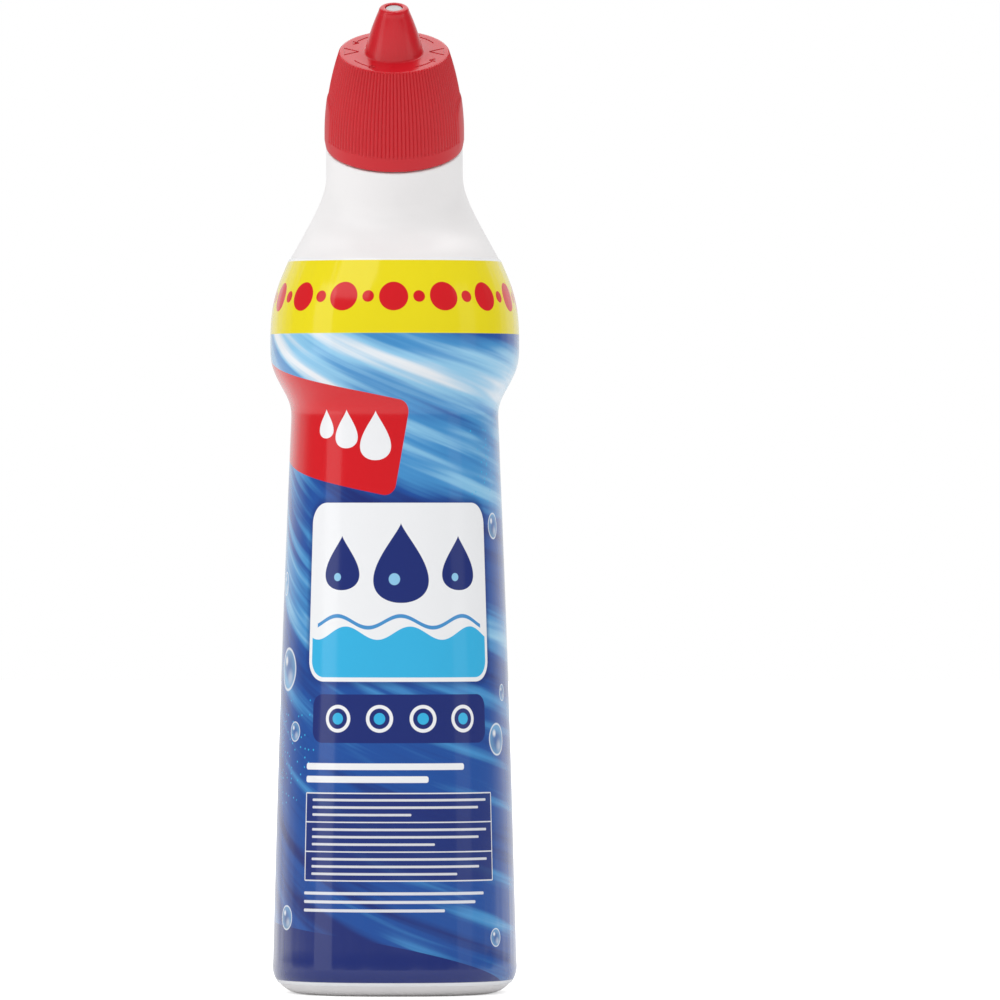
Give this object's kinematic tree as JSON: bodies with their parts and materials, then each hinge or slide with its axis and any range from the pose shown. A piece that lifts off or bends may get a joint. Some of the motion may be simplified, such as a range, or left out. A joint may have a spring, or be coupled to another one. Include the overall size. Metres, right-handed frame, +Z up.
{
  "type": "toilet cleaner bottle",
  "caption": "Tall oval squeeze bottle with a narrow grip waist, a neck that leans forward, a squirt nozzle, a ribbed squeeze-and-turn cap with a pointed tip, and a printed shrink film.",
  "frame": {"origin": "middle of the foot, on the surface the bottle stands on", "axes": "+Z up, -Y towards the front, where the neck leans, +X to the right as seen from the front"},
  "size_m": [0.0646, 0.0782, 0.2558],
  "materials": {
    "white_bottle": "satin blown polyethylene",
    "natural_nozzle": "natural soft polyethylene",
    "foam_washer": "matt foamed polyethylene",
    "grey_inner_cap": "satin polypropylene",
    "red_overcap": "satin polypropylene with a glossier top",
    "printed_film": "glossy printed shrink film"
  },
  "bodies": {
    "bottle": {"bottle": "white_bottle", "squirt_nozzle": "natural_nozzle", "printed_film": "printed_film"},
    "washer": {"seal_washer": "foam_washer"},
    "screw_cap": {"inner_cap": "grey_inner_cap"},
    "squeeze_shell": {"overcap": "red_overcap"}
  },
  "joints": [
    {"name": "cap_lift", "type": "slide", "parent": "bottle", "child": "washer", "axis": [0, -0.4226, 0.9063], "range_m": [0, 0.00481]},
    {"name": "cap_turn", "type": "hinge", "parent": "washer", "child": "screw_cap", "pos_m": [0, -0.01436, 0.21907], "axis": [0, -0.4226, 0.9063], "range_deg": [0, 540]},
    {"name": "shell_spin", "type": "hinge", "parent": "screw_cap", "child": "squeeze_shell", "pos_m": [0, -0.01436, 0.21907], "axis": [0, -0.4226, 0.9063], "continuous": true}
  ],
  "couplings": [
    {"joint": "cap_lift", "follows": "cap_turn", "m_per_rad": 0.0005093}
  ]
}
